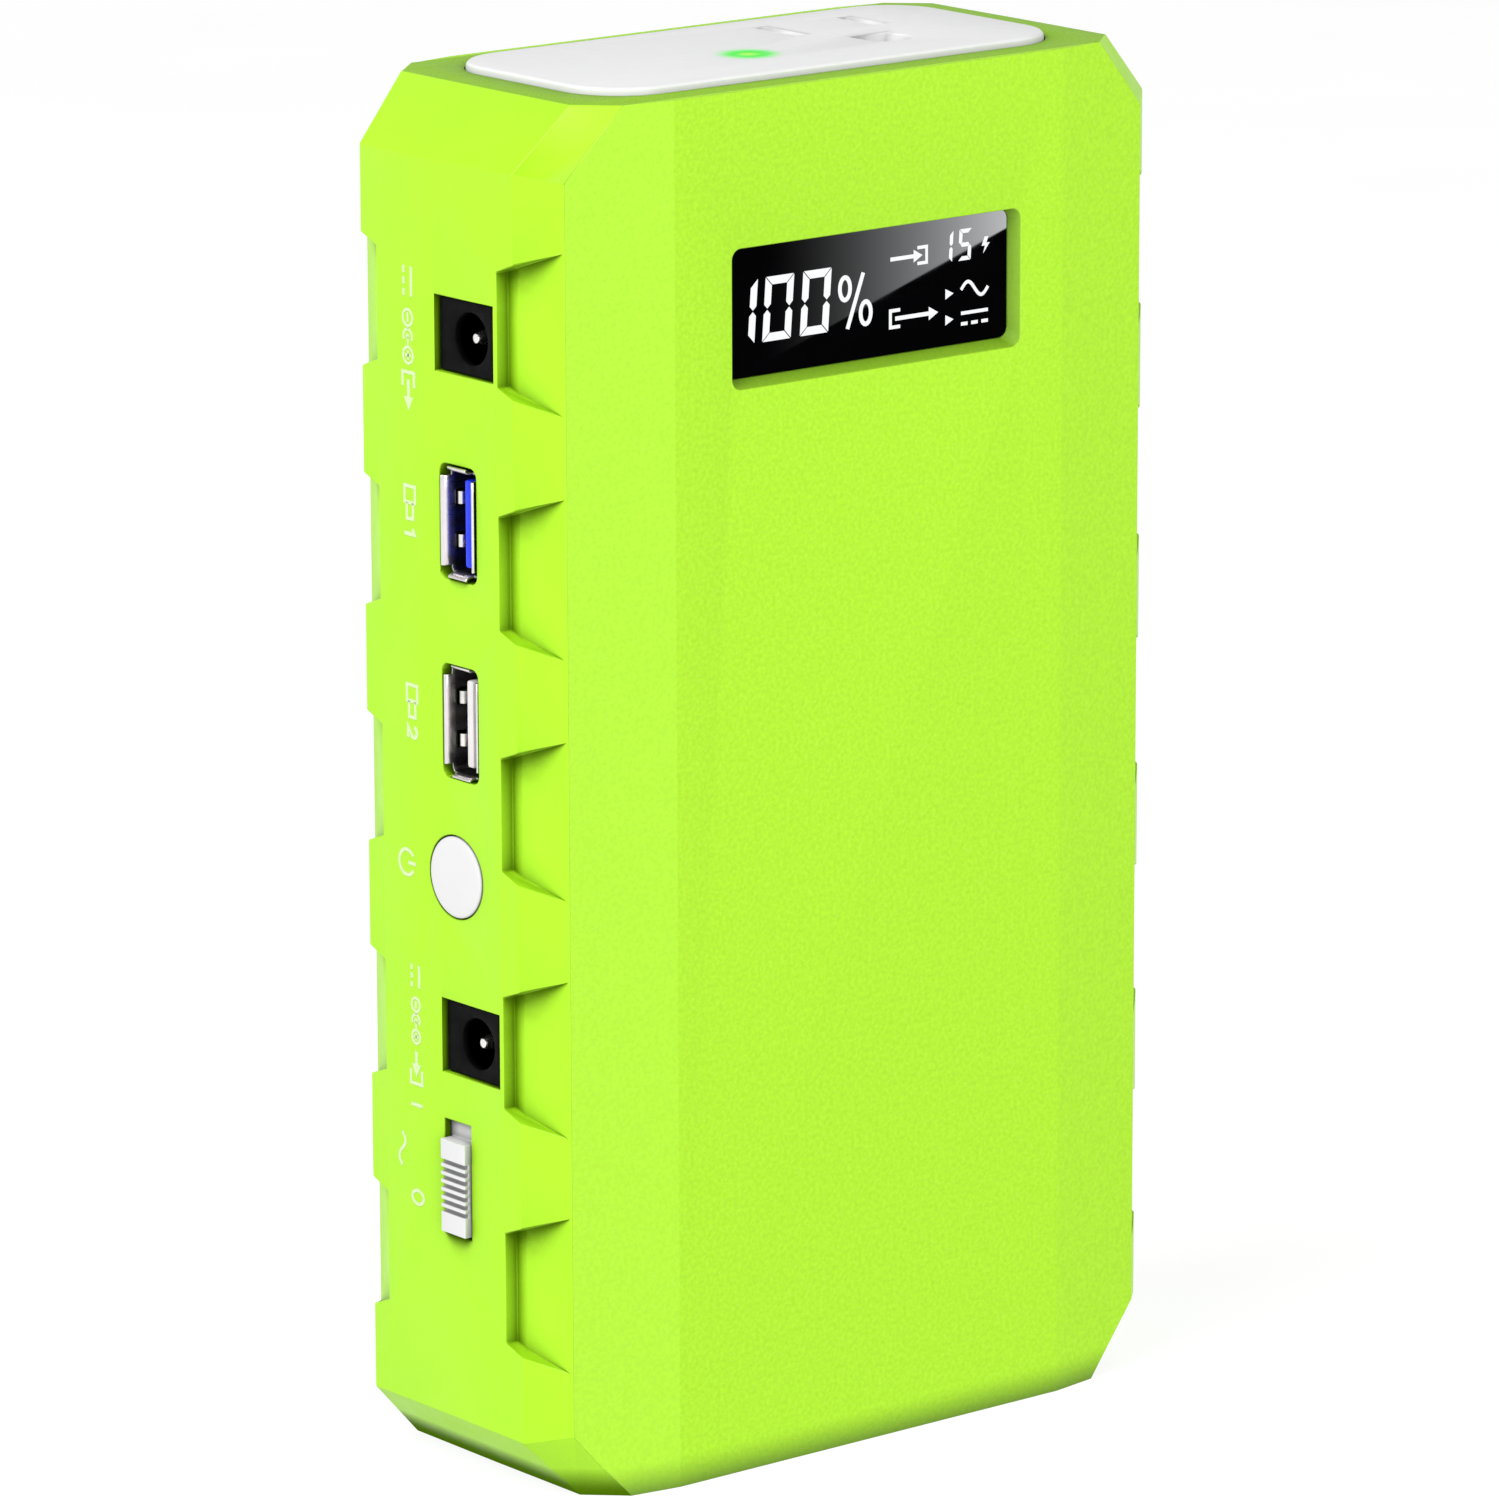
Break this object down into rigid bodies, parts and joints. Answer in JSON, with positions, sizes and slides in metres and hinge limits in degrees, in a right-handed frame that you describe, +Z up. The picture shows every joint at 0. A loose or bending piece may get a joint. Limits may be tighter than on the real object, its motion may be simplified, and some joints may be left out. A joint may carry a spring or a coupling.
{
  "type": "jump starter pack",
  "caption": "Faceted battery pack for starting cars, with a mains outlet, USB and DC sockets, display, power button, slide switch and covered jump lead socket.",
  "frame": {"origin": "centre of the flat base between the two covers, on the surface that the pack stands on", "axes": "+Z up, -Y out of the front with the display, -X out of the side with the sockets and switches"},
  "size_m": [0.0982, 0.0428, 0.1689],
  "materials": {
    "green_smooth": "lime green ABS, satin and smooth",
    "green_grain": "lime green ABS with a fine sandy grain",
    "white_plastic": "white ABS, satin",
    "black_plastic": "black moulded plastic",
    "black_window": "gloss black display window",
    "blue_plastic": "blue moulded plastic",
    "nickel": "bright nickel plate",
    "brass": "sprung brass",
    "steel": "plain steel",
    "aluminium": "extruded aluminium",
    "rubber": "matt black rubber",
    "circuit_board": "green solder mask",
    "pouch_foil": "soft foil laminate",
    "foam": "closed-cell foam",
    "clear_lens": "clear moulded lens",
    "green_lens": "lit green light pipe",
    "yellow_emitter": "phosphor emitter on a small board",
    "red_sleeve": "red silicone sleeve"
  },
  "bodies": {
    "casing": {"side_frame": "green_smooth", "front_cover": "green_grain", "rear_cover": "green_grain", "outlet_panel": "white_plastic", "outlet_insulator": "black_plastic", "outlet_contact_line": "brass", "outlet_contact_neutral": "brass", "outlet_contact_ground": "brass", "status_light_lens": "green_lens", "display_glass": "black_window", "display_module": "black_plastic", "display_board": "circuit_board", "dc_output_jack": "black_plastic", "dc_output_pin": "nickel", "dc_input_jack": "black_plastic", "dc_input_pin": "nickel", "usb_1_shell": "nickel", "usb_1_tongue": "blue_plastic", "usb_2_shell": "nickel", "usb_2_tongue": "white_plastic", "power_button_switch": "black_plastic", "ac_switch_body": "steel", "port_board": "circuit_board", "jump_socket_housing": "blue_plastic", "jump_contact_positive": "brass", "jump_contact_negative": "brass", "jump_cover_pin": "steel", "torch_lens": "clear_lens", "torch_reflector": "nickel", "torch_led": "yellow_emitter", "battery_cell_1": "pouch_foil", "battery_cell_2": "pouch_foil", "battery_cell_3": "pouch_foil", "battery_cell_4": "pouch_foil", "battery_tray": "black_plastic", "foam_pad_front": "foam", "foam_pad_rear": "foam", "battery_board": "circuit_board", "inverter_board": "circuit_board", "inverter_transformer": "black_plastic", "heat_sink": "aluminium", "filter_capacitor_1": "black_plastic", "filter_capacitor_2": "black_plastic", "jump_lead_positive": "red_sleeve", "jump_lead_negative": "black_plastic", "cover_screw_1": "steel", "cover_screw_2": "steel", "cover_screw_3": "steel", "cover_screw_4": "steel"},
    "button": {"power_button": "white_plastic"},
    "switch_slider": {"ac_switch_slider": "white_plastic"},
    "port_cover": {"jump_port_cover": "rubber"}
  },
  "joints": [
    {"name": "power_button_press", "type": "slide", "parent": "casing", "child": "button", "axis": [1, 0, 0], "range_m": [0, 0.0007], "stiffness_N_per_m": 1500},
    {"name": "ac_switch_slide", "type": "slide", "parent": "casing", "child": "switch_slider", "axis": [0, 0, 1], "range_m": [0, 0.002]},
    {"name": "jump_cover_hinge", "type": "hinge", "parent": "casing", "child": "port_cover", "pos_m": [0.0472, 0.0074, 0.118], "axis": [0, 0, 1], "range_deg": [0, 110]}
  ]
}
